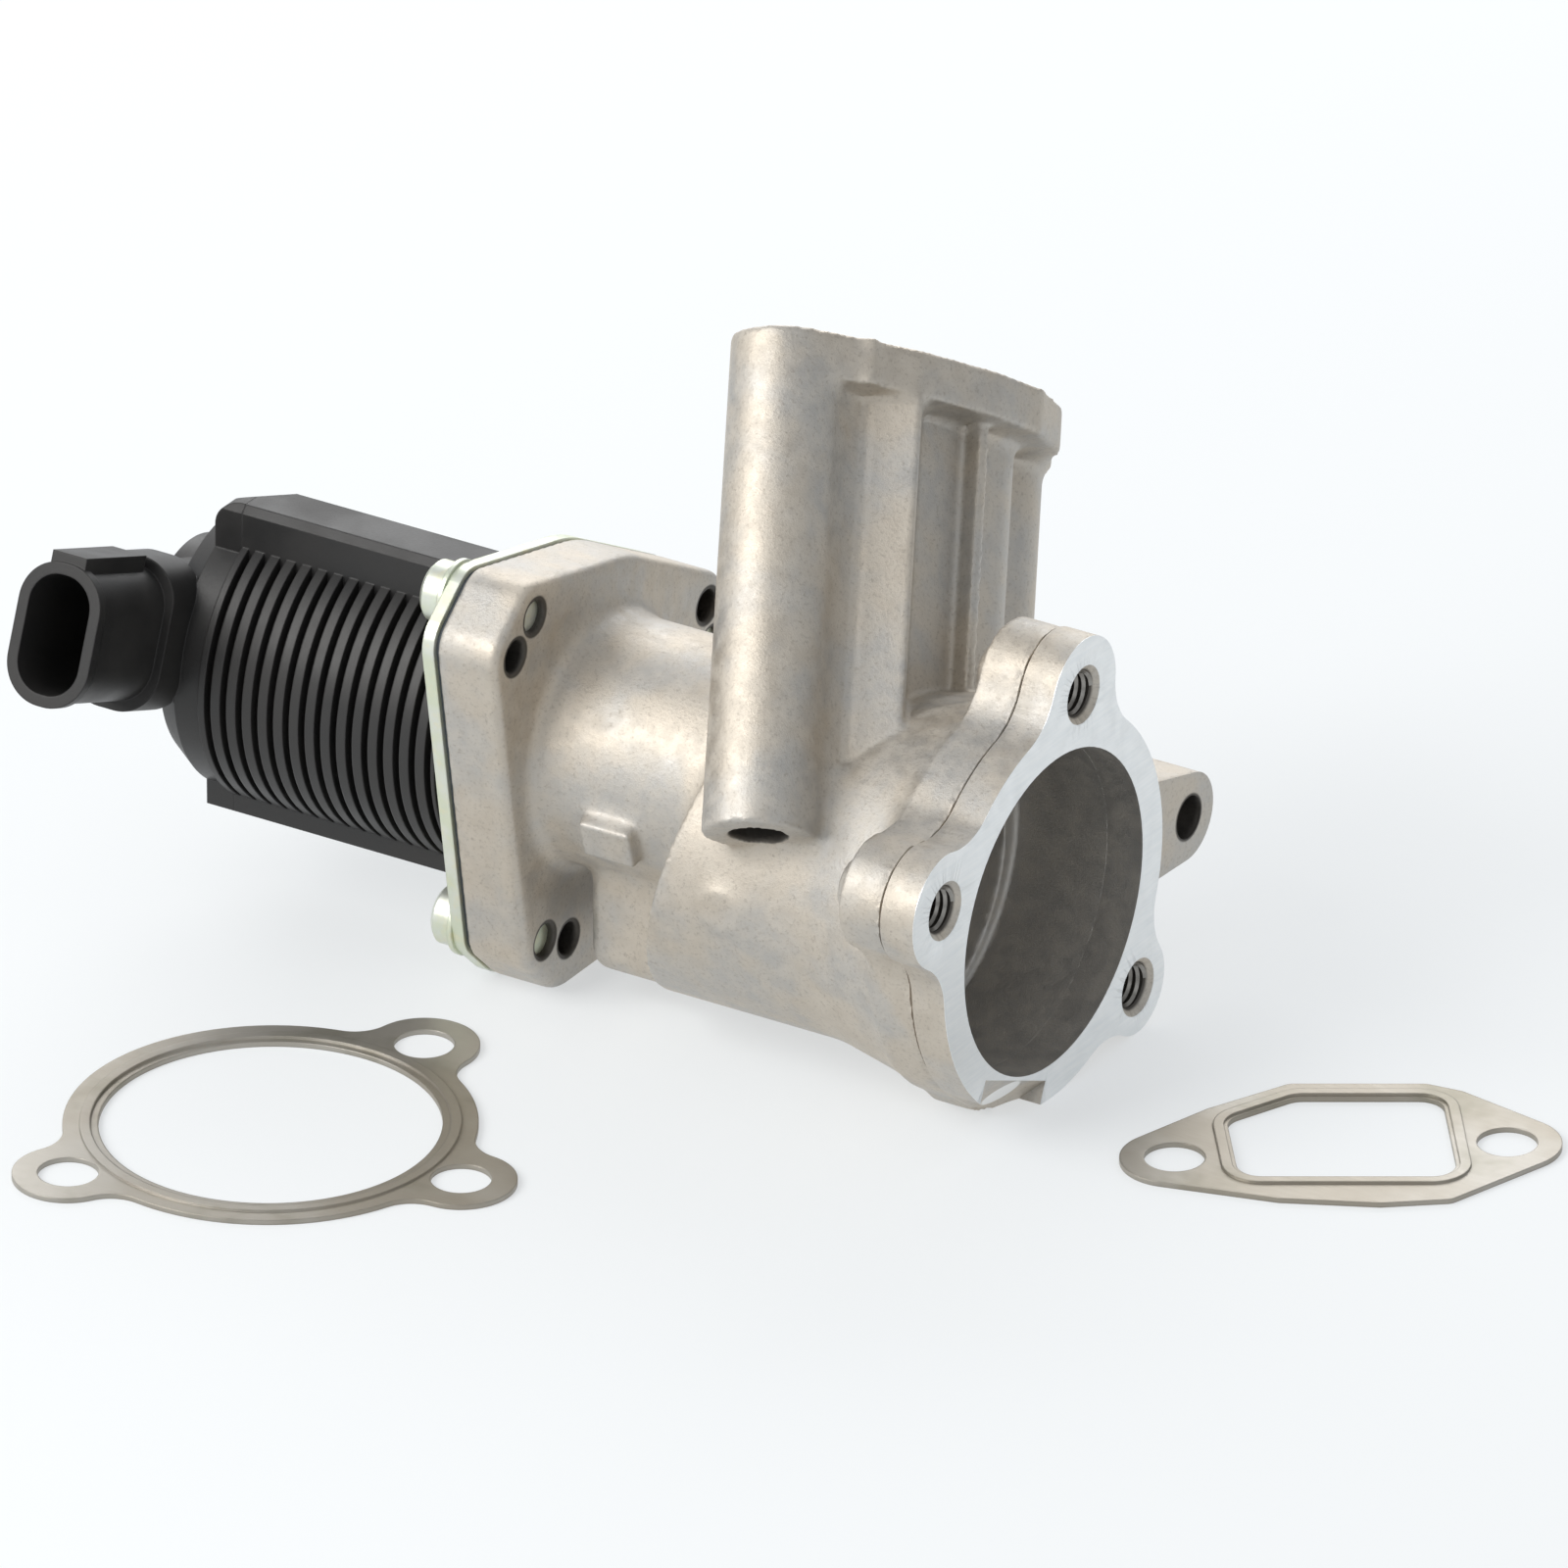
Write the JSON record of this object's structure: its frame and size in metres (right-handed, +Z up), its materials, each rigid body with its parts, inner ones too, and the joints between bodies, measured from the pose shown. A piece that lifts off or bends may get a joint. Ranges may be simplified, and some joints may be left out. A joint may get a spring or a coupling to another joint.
{
  "type": "egr valve",
  "caption": "Exhaust gas recirculation valve: cast body with round air flange and slanted gas tower, ribbed solenoid with plug socket, spring-closed poppet, two loose gaskets.",
  "frame": {"origin": "centre of the round air bore on the machined face of its flange", "axes": "+X out of the air bore, away from the solenoid; +Z up from the surface the valve lies on; +Y towards the fixing lug"},
  "size_m": [0.2273, 0.1694, 0.1079],
  "materials": {
    "cast_aluminium": "as-cast, warm grey, machined on its faces",
    "zinc_steel": "zinc plated, pale yellow-green",
    "black_plastic": "glass-filled nylon, satin",
    "gasket_steel": "coated sheet, grey-brown",
    "valve_steel": "turned, with a light brown heat tint",
    "seat_steel": "turned",
    "bush_bronze": "sintered bronze",
    "seal_rubber": "smooth",
    "gasket_paper": "fibre sheet",
    "magnetic_steel": "turned",
    "spring_steel": "drawn wire",
    "sleeve_steel": "drawn",
    "bobbin_plastic": "natural nylon",
    "copper_wire": "enamelled copper",
    "can_steel": "phosphated",
    "board_green": "solder mask",
    "magnet_dark": "sintered magnet",
    "pin_metal": "tinned brass"
  },
  "bodies": {
    "body": {"housing": "cast_aluminium", "valve_seat": "seat_steel", "stem_bush": "bush_bronze", "deposit_shield": "seat_steel", "stem_seal": "seal_rubber", "seal_retainer": "zinc_steel", "plate_gasket": "gasket_paper", "base_plate": "zinc_steel", "mounting_screws": "zinc_steel", "pole_piece": "magnetic_steel", "pilot_seal": "seal_rubber", "return_spring": "spring_steel", "guide_sleeve": "sleeve_steel", "coil_bobbin": "bobbin_plastic", "coil_winding": "copper_wire", "flux_can": "can_steel", "rear_yoke": "magnetic_steel", "coil_leads": "copper_wire", "sensor_board": "board_green", "solenoid_cover": "black_plastic", "end_cap": "black_plastic", "terminal_pins": "pin_metal", "cap_seal": "seal_rubber", "round_gasket": "gasket_steel", "port_gasket": "gasket_steel"},
    "valve": {"poppet_disc": "valve_steel", "valve_stem": "valve_steel", "armature": "magnetic_steel", "sensor_magnet": "magnet_dark"}
  },
  "joints": [
    {"name": "valve_lift", "type": "slide", "parent": "body", "child": "valve", "axis": [1, 0, 0], "range_m": [0, 0.0055], "stiffness_N_per_m": 3500, "springref_m": -0.004, "deforming": ["return_spring"]}
  ]
}
